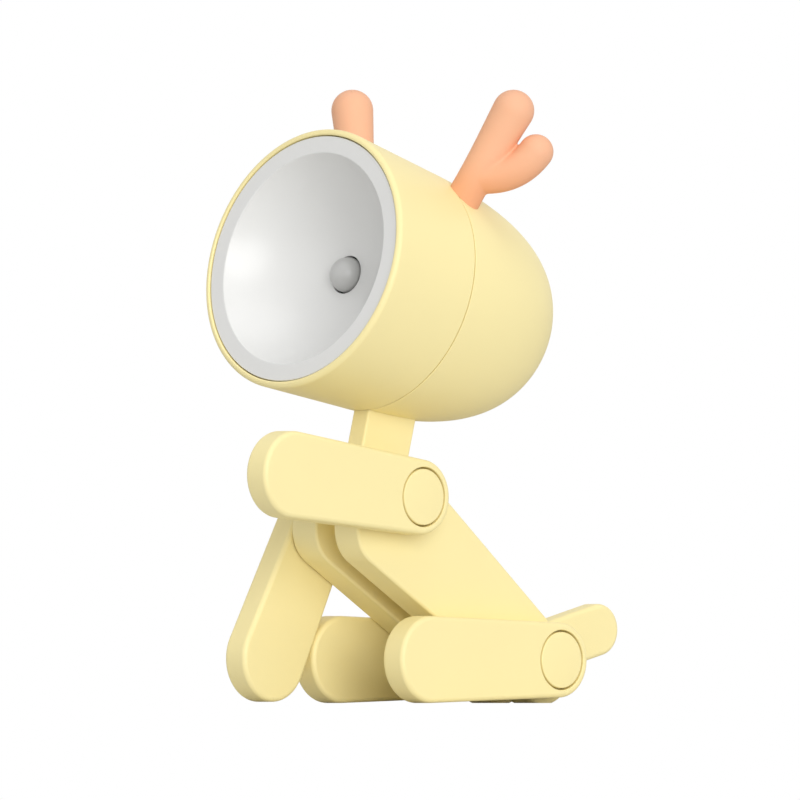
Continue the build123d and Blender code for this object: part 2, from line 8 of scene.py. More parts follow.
import bpy
from bpy.props import FloatProperty, FloatVectorProperty, IntProperty, PointerProperty
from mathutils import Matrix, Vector

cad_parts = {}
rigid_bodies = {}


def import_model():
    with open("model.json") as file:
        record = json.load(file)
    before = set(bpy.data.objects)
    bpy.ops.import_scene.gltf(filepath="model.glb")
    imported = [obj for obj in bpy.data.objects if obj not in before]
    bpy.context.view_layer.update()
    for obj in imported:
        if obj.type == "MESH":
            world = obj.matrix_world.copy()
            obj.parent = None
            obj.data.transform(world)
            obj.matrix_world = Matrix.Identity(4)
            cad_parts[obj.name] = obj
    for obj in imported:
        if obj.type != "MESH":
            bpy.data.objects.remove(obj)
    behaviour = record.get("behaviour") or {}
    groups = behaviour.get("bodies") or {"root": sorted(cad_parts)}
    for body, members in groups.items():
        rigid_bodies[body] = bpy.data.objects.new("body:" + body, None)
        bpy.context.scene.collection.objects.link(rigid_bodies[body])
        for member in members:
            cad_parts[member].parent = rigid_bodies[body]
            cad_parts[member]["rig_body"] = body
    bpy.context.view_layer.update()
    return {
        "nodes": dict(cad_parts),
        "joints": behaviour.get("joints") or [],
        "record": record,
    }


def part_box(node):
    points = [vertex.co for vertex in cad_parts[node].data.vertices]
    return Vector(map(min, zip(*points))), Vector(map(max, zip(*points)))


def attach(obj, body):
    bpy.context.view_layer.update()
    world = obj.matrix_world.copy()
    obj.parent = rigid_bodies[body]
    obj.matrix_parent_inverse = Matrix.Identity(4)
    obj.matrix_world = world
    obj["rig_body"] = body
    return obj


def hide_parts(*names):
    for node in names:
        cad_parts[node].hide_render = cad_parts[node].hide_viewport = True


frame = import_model()

bl_info = {
    "name": "Folding animal night light",
    "version": (1, 0, 0),
    "blender": (4, 5, 0),
    "location": "View3D > Sidebar > Night light",
    "description": "Models the shells, bars, antlers and finishes of a small folding lamp",
    "category": "Add Mesh",
}

MM = 0.001
WELD = 0.001 * MM
CUT_MARGIN = WELD / 10
SMOOTH_ANGLE = radians(32)
FLAT_ANGLE = radians(0.2)
SOFTEN_SHARE = 0.5
CLIP_PARTS = 10

# How finely turned pieces and their curves are divided
SPIN_STEPS = 180
DRILL_SIDES = 144
TINE_SIDES = 96
TINE_RINGS = 32
PIN_SIDES = 48
BALL_SIDES = 48
DOME_POINTS = 72
BOWL_POINTS = 48
BUTTON_POINTS = 16
RIM_POINTS = 12
TURN_POINTS = 10
CORNER_POINTS = 8
EDGE_POINTS = 6
SMALL_EDGE_POINTS = 5
BROKEN_POINTS = 4

# Sockets of a Mix node that blends two colours
MIX_PART = 0
MIX_FIRST = 6
MIX_LAST = 7
MIX_COLOUR = 2

joints = {joint["name"]: joint for joint in frame["joints"]}
slots = {part["node"]: part["material_slot"] for part in frame["record"]["subparts"]}
shoulder = Vector(joints["neck_tilt"]["pos_m"])
hip = Vector(joints["tail_swing"]["pos_m"])
rearward = -Vector(joints["power_button_press"]["axis"]).normalized()
upward = Vector((0, -rearward.z, rearward.y))
across = Vector((1, 0, 0))
plates = ("body_plate_left", "body_plate_right")
legs = ("front_leg_left", "front_leg_right", "hind_leg_left", "hind_leg_right")
antlers = {"antler_left": 1, "antler_right": -1}


def linear(code):
    """An sRGB hex colour as linear red, green and blue, with full alpha."""
    parts = [int(code[place:place + 2], 16) / 255 for place in (0, 2, 4)]
    curve = [part / 12.92 if part <= 0.04045 else ((part + 0.055) / 1.055) ** 2.4 for part in parts]
    return (*curve, 1.0)


def size(name, millimetres, description):
    """A length that a user can change."""
    return FloatProperty(
        name=name, description=description, default=millimetres * MM, unit="LENGTH", precision=5
    )


def angle(name, turn, description):
    """An angle that a user can change, given in degrees."""
    return FloatProperty(name=name, description=description, default=radians(turn), subtype="ANGLE")


def strength(name, value, description):
    """A light's strength that a user can change."""
    return FloatProperty(name=name, description=description, default=value, min=0)


def colour(name, code, description):
    """A colour that a user can change."""
    return FloatVectorProperty(
        name=name,
        description=description,
        default=linear(code),
        size=4,
        subtype="COLOR",
        min=0,
        max=1,
    )


class HeadSizes(bpy.types.PropertyGroup):
    """Sizes of the lamp's head, measured back from its mouth and out from its axis."""

    rim_radius: size("Rim radius", 24.75, "Outside of the lamp's mouth")
    rim_wall: size("Rim wall", 1.25, "Wall of the front shell at its mouth")
    rim_round: size("Rim rounding", 0.9, "Outer rounding of the mouth")
    rim_inner_round: size("Inner rim rounding", 0.25, "Rounding beside the reflector")
    parting_depth: size("Parting depth", 22, "From the mouth to the line where the shells meet")
    parting_gap: size("Parting gap", 0.25, "Open line between the shells")
    parting_round: size("Parting rounding", 0.12, "Broken edge on both sides of the line")
    head_taper: angle("Taper", 4.21, "Slope of the front shell's side")
    shell_wall: size("Shell wall", 1.8, "Wall of both shells")
    dome_depth: size("Dome depth", 35.2, "From the parting line to the rear pole")
    dome_shoulder: size("Dome shoulder", 27.6, "How long the dome stays full before it turns in")
    dome_crown: size("Dome crown", 14.3, "How broad the dome's end is")
    lip_depth: size("Lip depth", 3, "Reach of the rear shell's locating lip")
    lip_wall: size("Lip wall", 1.1, "Wall of the locating lip")
    lip_clearance: size("Lip clearance", 0.1, "Room round the locating lip")
    rib_thickness: size("Rib thickness", 2.2, "Ribs that clamp the neck")
    rib_bite: size("Rib bite", 1.0, "How far the ribs run past the neck")
    neck_rise: size("Neck rise", 14.8, "Bare neck between the shoulder axle and the head")
    neck_width: size("Neck width", 12.3, "Neck from front to back")
    neck_inset: size("Neck inset", 0.05, "From the parting line to the neck's front")
    neck_tab: size("Neck tab", 10.2, "Length of neck inside the head")
    neck_corner: size("Neck corner", 1.5, "Rounded corners of that tab")
    neck_slot: size("Neck slot clearance", 0.06, "Open line round the neck")
    neck_screw_hole: size("Neck screw hole", 1.05, "Holes for the two clamp screws")
    neck_screw_spread: size("Neck screw spread", 6, "Distance between those screws")
    neck_screw_inset: size("Neck screw inset", 2.8, "From the tab's end to those screws")
    flange_inset: size("Flange inset", 0.3, "Step from the rim down to the reflector")
    flange_thickness: size("Flange thickness", 1.6, "Reflector's ring")
    flange_gap: size("Flange gap", 0.2, "Dark line between rim and reflector")
    flange_width: size("Flange width", 3.65, "Flat ring of the reflector")
    flange_round: size("Flange rounding", 0.35, "Turn from the ring into the bowl")
    flange_edge: size("Flange edge", 0.15, "Broken outer edge of the ring")
    ledge_width: size("Ledge width", 1.4, "Step that carries the reflector")
    ledge_thickness: size("Ledge thickness", 1.5, "Thickness of that step")
    bowl_depth: size("Bowl depth", 11.1, "Hollow of the reflector")
    bowl_wall: size("Bowl wall", 1.2, "Wall of the reflector")
    led_radius: size("LED radius", 3.3, "Lamp's light source")
    led_gap: size("LED gap", 0.3, "Dark line round the LED")
    led_body: size("LED body", 3.4, "Straight part of the LED")
    led_foot: size("LED foot", 0.9, "Collar on the LED's base")
    led_foot_height: size("LED foot height", 1.0, "Thickness of that collar")
    button_radius: size("Button radius", 4, "Power button at the rear pole")
    button_proud: size("Button height", 0.9, "How far the button stands out")
    button_dish: size("Button dish", 0.2, "Hollow of the button's face for a finger")
    button_gap: size("Button gap", 0.15, "Dark line round the button")
    button_flange: size("Button flange", 1.0, "Stop that keeps the button in")
    button_flange_height: size("Button flange height", 1.2, "Thickness of that stop")
    button_travel: size("Button travel", 1.0, "Press of the button")
    button_stem: size("Button stem", 1.6, "Radius of the pin that works the switch")
    button_stem_end: size("Button stem end", 8.1, "From the pole to the end of that pin")
    guide_wall: size("Guide wall", 1.2, "Tube that guides the button")
    guide_depth: size("Guide depth", 10.6, "From the pole to the guide's inner end")


class BarSizes(bpy.types.PropertyGroup):
    """Sizes of the flat bars: torso plates, legs, neck and tail."""

    torso_radius: size("Torso corner", 7.1, "Rounded corners of the torso plates")
    plate_round: size("Plate edge", 0.55, "Edge rounding of the torso plates")
    chest_forward: size("Chest forward", 4.5, "Chest corner in front of the shoulder axle")
    chest_drop: size("Chest drop", 5.9, "Chest corner below the shoulder axle")
    heel_back: size("Heel back", 1.2, "Heel corner behind the hip axle")
    heel_sink: size("Heel sink", 0.3, "How much of the heel corner is cut flat")
    pivot_radius: size("Leg pivot end", 6.9, "Leg radius round its axle")
    tip_radius: size("Leg tip end", 8, "Leg radius at its foot")
    leg_reach: size("Leg reach", 33.45, "From the axle to the foot's centre")
    raised_lift: angle("Raised leg", 7.1, "Lift of the raised front leg above level")
    standing_lift: angle("Standing leg", -62.4, "Lift of the standing front leg above level")
    edge_round: size("Edge rounding", 0.9, "Edge rounding of legs and tail")
    tail_width: size("Tail width", 9.5, "Tail from side to side")
    tail_reach: size("Tail reach", 23, "From the axle to the tail's round end")
    tail_lift: angle("Tail lift", 14, "Lift of the tail above level")
    neck_edge: size("Neck edge", 0.5, "Edge rounding of the neck")
    axle_bore: size("Axle bore", 1.8, "Bore for the axles")
    washer_bore: size("Washer recess", 4.25, "Recess for the friction washer")
    washer_depth: size("Washer recess depth", 0.45, "Depth of that recess")
    nut_bore: size("Nut room", 4.225, "Room for the nut behind the cap")
    nut_depth: size("Nut room depth", 3.05, "Depth of that room from the leg's outside")
    cap_radius: size("Cap radius", 5.175, "Round cap over the nut")
    cap_gap: size("Cap gap", 0.36, "Dark ring round the cap")
    cap_thickness: size("Cap thickness", 1.2, "Cap and its seat")
    cap_round: size("Cap rounding", 0.25, "Edge rounding of the cap")
    cap_ring: size("Cap ring", 4.175, "Outside of the ring that snaps into the nut room")
    cap_ring_wall: size("Cap ring wall", 0.6, "Wall of that ring")
    cap_ring_depth: size("Cap ring depth", 0.8, "Depth of that ring")
    seat_round: size("Seat rounding", 0.12, "Broken edge of the cap's seat")
    seat_groove: size("Seat groove", 2.4, "Depth of the dark ring round the cap")


class AntlerSizes(bpy.types.PropertyGroup):
    """Sizes of the two soft antlers."""

    setback: size("Setback", 2.6, "Antler's root behind the parting line")
    spread: angle("Spread", 36.8, "Root's turn from the top of the head")
    heading: angle("Heading", 53, "Turn of the antler's own plane from straight back")
    main_out: size("Main tine out", 9, "Outward run of the main tine")
    main_up: size("Main tine up", 15.7, "Rise of the main tine")
    main_base: size("Main tine base", 3.45, "Radius at the head")
    main_waist: size("Main tine waist", 3.25, "Smallest radius, below the fork")
    waist_rise: size("Waist rise", 5.2, "From the head to the waist, along the tine")
    main_swell: size("Main tine swell", 3.52, "Radius above the fork")
    swell_rise: size("Swell rise", 11.9, "From the head to that radius, along the tine")
    main_tip: size("Main tine tip", 3.87, "Radius of the round end")
    prong_root: size("Prong root", 3.1, "Radius of the side prong where it leaves the main tine")
    prong_tip: size("Prong tip", 3.25, "Radius of the side prong's round end")
    prong_balls: IntProperty(
        name="Prong balls", description="Balls melted into the prong", default=24
    )
    fork_out: size("Fork out", 2.3, "Outward place where the prong's axis starts")
    fork_up: size("Fork up", 3.6, "Height where the prong's axis starts")
    bend_out: size("Prong bend out", 9.4, "Outward place of the prong's bend")
    bend_up: size("Prong bend up", 4.8, "Height of the prong's bend")
    prong_out: size("Prong out", 13.2, "Outward run of the side prong")
    prong_up: size("Prong up", 8.15, "Rise of the side prong")
    pin_radius: size("Pin radius", 1.6, "Pin into the rear shell")
    pin_length: size("Pin length", 4, "Length of that pin")
    pin_clearance: size("Pin clearance", 0.1, "Room round that pin")
    voxel: size("Voxel", 0.2, "Grid on which the two tines are melted together")
    soften: IntProperty(name="Soften", description="Smoothing rounds over the fork", default=8)


class LampColours(bpy.types.PropertyGroup):
    """Colours of the finishes, as they look in plain light."""

    shell: colour("Shell", "FDEEB0", "Cream yellow ABS")
    antler_tip: colour("Antler tip", "F6BC98", "Peach silicone at the tips")
    antler_root: colour("Antler root", "F1AE84", "Peach silicone near the head")
    reflector: colour("Reflector", "E5E5E3", "White moulded plastic")
    # The LED resin colours carry painted light: a lighter dome tip and painted shade near the foot
    epoxy_lit_tip: colour("Epoxy tip", "C6C6C4", "Milky LED resin at its dome")
    epoxy_shaded_foot: colour("Epoxy foot", "A8A8A6", "Milky LED resin near its foot")
    steel: colour("Steel", "C9CBCC", "Zinc-plated steel")
    nickel: colour("Nickel", "D6D6D3", "Nickel-plated cell cans")
    brass: colour("Brass", "D8B56A", "Brass contacts")
    laminate: colour("Laminate", "2E6B45", "Green board laminate")
    black: colour("Black plastic", "1E1F21", "Moulded black plastic")
    wire: colour("Wire", "B8322A", "Soft red wire jacket")
    rubber: colour("Rubber", "3A3836", "Dark rubber washers")
    floor: colour("Floor", "F4F3F1", "Pale matt floor")
    floor_bounce: colour(
        "Floor bounce", "DCDBD9", "Floor as the lamp sees it, for the light from below"
    )


class StageSettings(bpy.types.PropertyGroup):
    """Camera and light."""

    azimuth: angle("Azimuth", 45, "Turn of the camera")
    view_width: size("View width", 147.03, "Width of the parallel view")
    target_x: size("Target X", -6.9, "Middle of the view, across")
    target_y: size("Target Y", 4.03, "Middle of the view, lengthwise")
    target_z: size("Target Z", 55.69, "Middle of the view, height")
    camera_distance: size("Camera distance", 400, "Distance of the camera")
    ambient: strength("Ambient", 0.46, "Light from all round")
    key: strength("Key", 2.17, "Main light, beside the camera")
    key_azimuth: angle("Key azimuth", 65, "Turn of the main light")
    key_height: angle("Key height", 9, "Height of the main light")
    fill: strength("Fill", 0.17, "Weaker light, in front of the lamp's mouth")
    fill_azimuth: angle("Fill azimuth", 0, "Turn of the weaker light")
    fill_height: angle("Fill height", 10, "Height of the weaker light")
    top: strength("Top", 0.6, "Light from above")
    top_azimuth: angle("Top azimuth", 45, "Turn of the light from above")
    top_height: angle("Top height", 80, "Height of the light from above")
    softness: angle("Softness", 50, "Apparent width of the three lights")
    floor_size: size("Floor size", 6000, "Side of the square floor")
    floor_drop: size("Floor drop", 0.4, "Thin gap that lets light in under the feet")


# Places and profiles worked out from the sizes


def head():
    """Sizes of the lamp's head."""
    return bpy.context.scene.lamp_head


def bars():
    """Sizes of the flat bars."""
    return bpy.context.scene.lamp_bars


def horns():
    """Sizes of the antlers."""
    return bpy.context.scene.lamp_antlers


def colours():
    """Colours of the finishes."""
    return bpy.context.scene.lamp_colours


def shell_radius(depth):
    """Outside radius of the tapered front shell."""
    return head().rim_radius - tan(head().head_taper) * depth


def neck_depth():
    """Depth of the neck's middle behind the mouth."""
    return head().parting_depth + head().neck_inset + head().neck_width / 2


def neck_tab_end():
    """Distance of the neck's top end below the lamp's axis."""
    return shell_radius(head().parting_depth) - head().neck_tab


def rim_centre():
    """Middle of the lamp's mouth."""
    height = head().neck_rise + shell_radius(head().parting_depth)
    return shoulder + upward * height - rearward * neck_depth()


def head_place(depth, radius):
    """A point above the lamp's axis, behind its mouth."""
    return rim_centre() + rearward * depth + upward * radius


def pole_depth():
    """Depth of the dome's rear pole behind the mouth."""
    return head().parting_depth + head().dome_depth


def arc(depth, radius, reach, start, end, count):
    """Points round a corner of a profile, with angles in degrees from rearward to outward."""
    turns = [radians(start + (end - start) * step / count) for step in range(count + 1)]
    return [(depth + reach * cos(turn), radius + reach * sin(turn)) for turn in turns]


def bend(points, count):
    """Points along a cubic curve."""
    made = []
    for step in range(count + 1):
        part = step / count
        rest = 1 - part
        weights = (rest**3, 3 * rest**2 * part, 3 * rest * part**2, part**3)
        made.append(tuple(sum(w * p[axis] for w, p in zip(weights, points)) for axis in (0, 1)))
    return made


def dome_curve(wall=0.0, side_wall=0.0):
    """The dome's curve from its pole to the parting line, outside or moved in by its walls."""
    sizes = head()
    parting = sizes.parting_depth
    side = shell_radius(parting) - side_wall
    end = pole_depth() - wall
    turn = sizes.dome_shoulder - wall
    turn_radius = side - tan(sizes.head_taper) * sizes.dome_shoulder
    crown = sizes.dome_crown - wall
    points = ((end, 0), (end, crown), (parting + turn, turn_radius), (parting, side))
    return bend(points, DOME_POINTS)


def outside(points, radius):
    """The stretch of a dome curve outside a radius, starting exactly on it."""
    kept = [point for point in points if point[1] > radius]
    before = points[len(points) - len(kept) - 1]
    part = (radius - before[1]) / (kept[0][1] - before[1])
    return [(before[0] + (kept[0][0] - before[0]) * part, radius), *kept]


def front_profile():
    """Section of the front shell: tapered side, rounded mouth and the ledge for the reflector."""
    sizes = head()
    bore = sizes.rim_radius - sizes.rim_wall
    end = sizes.parting_depth - sizes.parting_gap
    broken = sizes.parting_round
    rim = sizes.rim_round
    rim_middle = shell_radius(rim) - rim / cos(sizes.head_taper)
    inner = sizes.rim_inner_round
    ledge = sizes.flange_inset + sizes.flange_thickness
    ledge_back = ledge + sizes.ledge_thickness
    side = 90 - degrees(sizes.head_taper)
    points = arc(end - broken, shell_radius(end) - broken, broken, 0, side, BROKEN_POINTS)
    points += arc(rim, rim_middle, rim, side, 180, RIM_POINTS)
    points += arc(inner, bore + inner, inner, 180, 270, SMALL_EDGE_POINTS)
    points += [
        (ledge, bore),
        (ledge, bore - sizes.ledge_width),
        (ledge_back, bore - sizes.ledge_width),
        (ledge_back, shell_radius(ledge_back) - sizes.shell_wall),
        (end, shell_radius(end) - sizes.shell_wall),
    ]
    return points + points[:1]


def rear_profile():
    """Section of the rear shell: dome, locating lip and the tube that guides the button."""
    sizes = head()
    parting = sizes.parting_depth
    broken = sizes.parting_round
    hole = sizes.button_radius + sizes.button_gap
    guide = hole + sizes.button_flange
    lip_root = shell_radius(parting) - sizes.shell_wall - sizes.lip_clearance
    lip_start = parting - sizes.lip_depth
    lip_outer = shell_radius(lip_start) - sizes.shell_wall - sizes.lip_clearance
    guide_end = pole_depth() - sizes.guide_depth
    seat = pole_depth() - sizes.shell_wall - 2 * sizes.button_travel
    points = [place for place in outside(dome_curve(), hole) if place[0] > parting + 2 * broken]
    edge_radius = shell_radius(parting) - broken
    points += arc(parting + broken, edge_radius, broken, 90, 180, BROKEN_POINTS)
    points += [(parting, lip_root), (lip_start, lip_outer), (lip_start, lip_outer - sizes.lip_wall)]
    inner_curve = dome_curve(sizes.shell_wall, shell_radius(parting) - lip_root + sizes.lip_wall)
    points += reversed(outside(inner_curve, guide + sizes.guide_wall))
    points += [(guide_end, guide + sizes.guide_wall), (guide_end, guide)]
    points += [(seat, guide), (seat, hole)]
    return points + points[:1]


def head_form_profile():
    """Section of the whole closed head."""
    return [*dome_curve(), (0, head().rim_radius), (0, 0)]


def bowl_ball():
    """Radius of the ball that shapes the reflector's bowl, and its centre's depth."""
    sizes = head()
    mouth = sizes.rim_radius - sizes.rim_wall - sizes.flange_gap - sizes.flange_width
    ball = (mouth**2 + sizes.bowl_depth**2) / (2 * sizes.bowl_depth)
    return ball, bowl_floor() - ball


def bowl_floor():
    """Depth of the bowl's deepest point behind the mouth."""
    return head().flange_inset + head().flange_thickness / 2 + head().bowl_depth


def reflector_profile():
    """Section of the reflector: flat ring, soft turn, bowl and the LED's hole."""
    sizes = head()
    outer = sizes.rim_radius - sizes.rim_wall - sizes.flange_gap
    face = sizes.flange_inset
    back = face + sizes.flange_thickness
    edge = sizes.flange_edge
    hole = sizes.led_radius + sizes.led_gap
    turn = sizes.flange_round
    ball, middle = bowl_ball()
    turn_radius = sqrt((ball + turn) ** 2 - (face + turn - middle) ** 2)
    touch = degrees(atan2(turn_radius, face + turn - middle))
    shell = ball + sizes.bowl_wall
    points = arc(face + edge, outer - edge, edge, 90, 180, BROKEN_POINTS)
    points += arc(face + turn, turn_radius, turn, 180, 180 + touch, TURN_POINTS)
    points += arc(middle, 0, ball, touch, degrees(asin(hole / ball)), BOWL_POINTS)[1:]
    back_start = degrees(asin(hole / shell))
    back_end = degrees(acos((back - middle) / shell))
    points += arc(middle, 0, shell, back_start, back_end, BOWL_POINTS // 2)
    points += [(back, outer)]
    return points + points[:1]


def led_profile():
    """Section of the LED: dome, straight body and collar."""
    sizes = head()
    base = bowl_floor() + sizes.led_body
    foot = sizes.led_radius + sizes.led_foot
    end = base + sizes.led_foot_height
    points = arc(bowl_floor(), 0, sizes.led_radius, 180, 90, BOWL_POINTS // 2)
    return [*points, (base, sizes.led_radius), (base, foot), (end, foot), (end, 0)]


def button_profile():
    """Section of the power button: dished face, rounded edge, stop and pin."""
    sizes = head()
    radius = sizes.button_radius
    face = pole_depth() + sizes.button_proud
    rounding = sizes.button_proud / 2
    flat = radius - rounding
    seat = pole_depth() - sizes.shell_wall - 2 * sizes.button_travel
    stop = seat - sizes.button_flange_height
    end = pole_depth() - sizes.button_stem_end
    hollow = face - sizes.button_dish
    dish = ((hollow, 0), (hollow, flat / 2), (face, flat / 2), (face, flat))
    points = bend(dish, BUTTON_POINTS)
    points += arc(face - rounding, flat, rounding, 0, 90, CORNER_POINTS)[1:]
    flange = radius + sizes.button_flange
    points += [(seat, radius), (seat, flange), (stop, flange)]
    return points + [(stop, sizes.button_stem), (end, sizes.button_stem), (end, 0)]


def is_left(node):
    """Whether a node is on the lamp's own left."""
    return node.endswith("left")


def leg_pivot(node):
    """The axle that a leg turns on."""
    return shoulder if node.startswith("front") else hip


def leg_tip(node):
    """Middle of a leg's round foot."""
    sizes = bars()
    lift = asin((sizes.tip_radius - hip.z) / sizes.leg_reach)
    if node.startswith("front"):
        lift = sizes.raised_lift if is_left(node) else sizes.standing_lift
    return leg_pivot(node) + sizes.leg_reach * Vector((0, -cos(lift), sin(lift)))


def bar_sides(node):
    """Inner and outer X of a bar beside the lamp's middle."""
    low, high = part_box(node)
    return (low.x, high.x) if is_left(node) else (high.x, low.x)


def antler_root(side):
    """Where an antler's axis meets the head."""
    sizes = horns()
    depth = head().parting_depth + sizes.setback
    radius = shell_radius(depth)
    middle = head_place(depth, radius * cos(sizes.spread))
    return middle + across * side * radius * sin(sizes.spread)


def antler_run(side, out, up):
    """A step in the antler's own upright plane, which runs out and back from the head."""
    heading = horns().heading
    return Vector((side * out * sin(heading), out * cos(heading), up))


# Modelling steps


def start_piece(name):
    """Name the primitive that was just added."""
    piece = bpy.context.object
    piece.name = name
    piece.data.name = name
    return piece


def only(piece):
    """Select one object and make it active."""
    bpy.ops.object.select_all(action="DESELECT")
    piece.select_set(True)
    bpy.context.view_layer.objects.active = piece


def weld_all():
    """In edit mode, merge doubles and turn all faces outwards."""
    bpy.ops.mesh.select_all(action="SELECT")
    bpy.ops.mesh.remove_doubles(threshold=WELD)
    bpy.ops.mesh.normals_make_consistent(inside=False)


def spun(name, points, centre, axis, steps=SPIN_STEPS):
    """Trace a profile by extruding one vertex, and spin it once round an axis."""
    bpy.ops.object.select_all(action="DESELECT")
    bpy.ops.mesh.primitive_plane_add(size=MM)
    piece = start_piece(name)
    bpy.ops.object.mode_set(mode="EDIT")
    bpy.ops.mesh.select_mode(type="VERT")
    bpy.ops.mesh.select_all(action="SELECT")
    bpy.ops.mesh.merge(type="CENTER")
    bpy.ops.transform.translate(value=points[0])
    for before, after in zip(points, points[1:]):
        bpy.ops.mesh.extrude_vertices_move(TRANSFORM_OT_translate={"value": after - before})
    bpy.ops.mesh.select_all(action="SELECT")
    bpy.ops.mesh.spin(steps=steps, angle=2 * pi, center=centre, axis=axis)
    weld_all()
    bpy.ops.object.mode_set(mode="OBJECT")
    return piece


def head_spun(name, profile):
    """A piece of revolution round the lamp's axis."""
    return spun(name, [head_place(*point) for point in profile], rim_centre(), rearward)


def pivot_spun(name, profile, pivot):
    """A piece of revolution round an axle; the profile holds places along X and radii."""
    points = [Vector((x, pivot.y, pivot.z + radius)) for x, radius in profile]
    return spun(name, points, pivot, across)


def cylinder(name, centre, radius, start, end):
    """A cylinder along X."""
    bpy.ops.object.select_all(action="DESELECT")
    bpy.ops.mesh.primitive_cylinder_add(
        vertices=DRILL_SIDES,
        radius=radius,
        depth=abs(end - start),
        location=((start + end) / 2, centre.y, centre.z),
        rotation=(0, pi / 2, 0),
    )
    bpy.ops.object.transform_apply(location=True, rotation=True, scale=True)
    return start_piece(name)


def block(name, depths, drops, sides):
    """A box in the head's own directions: depths behind the mouth, drops below the axis, and X."""
    middle = rim_centre() + rearward * sum(depths) / 2 - upward * sum(drops) / 2
    middle.x = sum(sides) / 2
    bpy.ops.object.select_all(action="DESELECT")
    bpy.ops.mesh.primitive_cube_add(
        size=1,
        location=middle,
        rotation=(atan2(rearward.z, rearward.y), 0, 0),
        scale=[abs(end - start) for start, end in (sides, depths, drops)],
    )
    bpy.ops.object.transform_apply(location=True, rotation=True, scale=True)
    return start_piece(name)


def hull_bar(name, ends, inner, outer, rounding, flat_at=None):
    """A flat bar: a disc with a rounded edge for each end, all wrapped in one hull."""
    low, high = sorted((inner, outer))
    made = []
    for centre, radius in ends:
        edge = radius - rounding
        profile = [(low, 0), *arc(low + rounding, edge, rounding, 180, 90, EDGE_POINTS)]
        profile += [*arc(high - rounding, edge, rounding, 90, 0, EDGE_POINTS), (high, 0)]
        made.append(pivot_spun(name, profile, centre))
    for piece in made:
        piece.select_set(True)
    bpy.ops.object.join()
    bar = start_piece(name)
    bpy.ops.object.mode_set(mode="EDIT")
    bpy.ops.mesh.select_all(action="SELECT")
    bpy.ops.mesh.convex_hull()
    bpy.ops.mesh.select_all(action="SELECT")
    bpy.ops.mesh.remove_doubles(threshold=WELD)
    bpy.ops.mesh.dissolve_limited(angle_limit=FLAT_ANGLE)
    if flat_at is not None:
        bpy.ops.mesh.select_all(action="SELECT")
        bpy.ops.mesh.bisect(
            plane_co=flat_at,
            plane_no=(0, 0, 1),
            use_fill=True,
            clear_inner=True,
            threshold=CUT_MARGIN,
        )
    weld_all()
    bpy.ops.object.mode_set(mode="OBJECT")
    return bar


def combine(piece, tool, operation="DIFFERENCE"):
    """Cut a tool's shape out of a piece, or join it on, and remove the tool."""
    only(piece)
    bpy.ops.object.modifier_add(type="BOOLEAN")
    step = piece.modifiers[-1]
    step.object = tool
    step.operation = operation
    step.solver = "EXACT"
    bpy.ops.object.modifier_apply(modifier=step.name)
    bpy.data.objects.remove(tool)


def drill(piece, centre, radius, start, end):
    """Bore a piece along X."""
    combine(piece, cylinder("drill", centre, radius, start, end))


def shade(piece):
    """Smooth shading that keeps flat faces flat beside their rounded edges."""
    only(piece)
    bpy.ops.object.shade_smooth_by_angle(angle=SMOOTH_ANGLE)
    bpy.ops.object.modifier_add(type="WEIGHTED_NORMAL")
    weighting = piece.modifiers[-1]
    weighting.keep_sharp = True
    bpy.ops.object.modifier_apply(modifier=weighting.name)


def settle(piece, node):
    """Let a finished piece stand for its node, with that node's finish and body."""
    piece.data.materials.clear()
    piece.data.materials.append(finish(slots[node]))
    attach(piece, frame["nodes"][node]["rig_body"])
    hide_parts(node)


# Materials


def add_node(tree, kind, inputs=None, **settings):
    """Add a node with its settings, and set or link its inputs."""
    made = tree.nodes.new(kind)
    for name, value in settings.items():
        setattr(made, name, value)
    for name, value in (inputs or {}).items():
        if isinstance(value, bpy.types.NodeSocket):
            tree.links.new(value, made.inputs[name])
        else:
            made.inputs[name].default_value = value
    return made


def blank(name, **constants):
    """A new material: its tree, its shader with the constants set, and its object coordinates."""
    material = bpy.data.materials.new(name)
    material.use_nodes = True
    tree = material.node_tree
    shader = tree.nodes["Principled BSDF"]
    for socket, value in constants.items():
        shader.inputs[socket.replace("_", " ")].default_value = value
    place = add_node(tree, "ShaderNodeTexCoord").outputs["Object"]
    return material, tree, shader, place


def shaded(base, factor):
    """A colour made darker or lighter."""
    return (*(min(1.0, part * factor) for part in base[:3]), 1.0)


def grain(tree, shader, place, spacing, gloss, relief):
    """Fine surface texture: it moves the roughness between two values and adds some relief."""
    # Textures of moulded and plated faces are a few hundredths of a millimetre wide, too fine to
    # show in a view of this size, so each spacing is drawn as coarse as it needs to show
    texture = add_node(
        tree,
        "ShaderNodeTexNoise",
        {"Vector": place, "Scale": 1 / spacing, "Detail": 2.0, "Roughness": 0.55},
    )
    height = texture.outputs["Fac"]
    low, high = gloss
    rough = add_node(tree, "ShaderNodeMapRange", {"Value": height, "To Min": low, "To Max": high})
    bump = add_node(
        tree, "ShaderNodeBump", {"Height": height, "Strength": relief, "Distance": spacing / 4}
    )
    tree.links.new(rough.outputs[0], shader.inputs["Roughness"])
    tree.links.new(bump.outputs[0], shader.inputs["Normal"])


def cloud(tree, shader, place, spacing, dark, light):
    """A slow change of tone between two colours."""
    drift = add_node(
        tree, "ShaderNodeTexNoise", {"Vector": place, "Scale": 1 / spacing, "Detail": 2.0}
    )
    tint = add_node(
        tree,
        "ShaderNodeMix",
        {MIX_PART: drift.outputs["Fac"], MIX_FIRST: dark, MIX_LAST: light},
        data_type="RGBA",
    )
    tree.links.new(tint.outputs[MIX_COLOUR], shader.inputs["Base Color"])
    return tint.outputs[MIX_COLOUR]


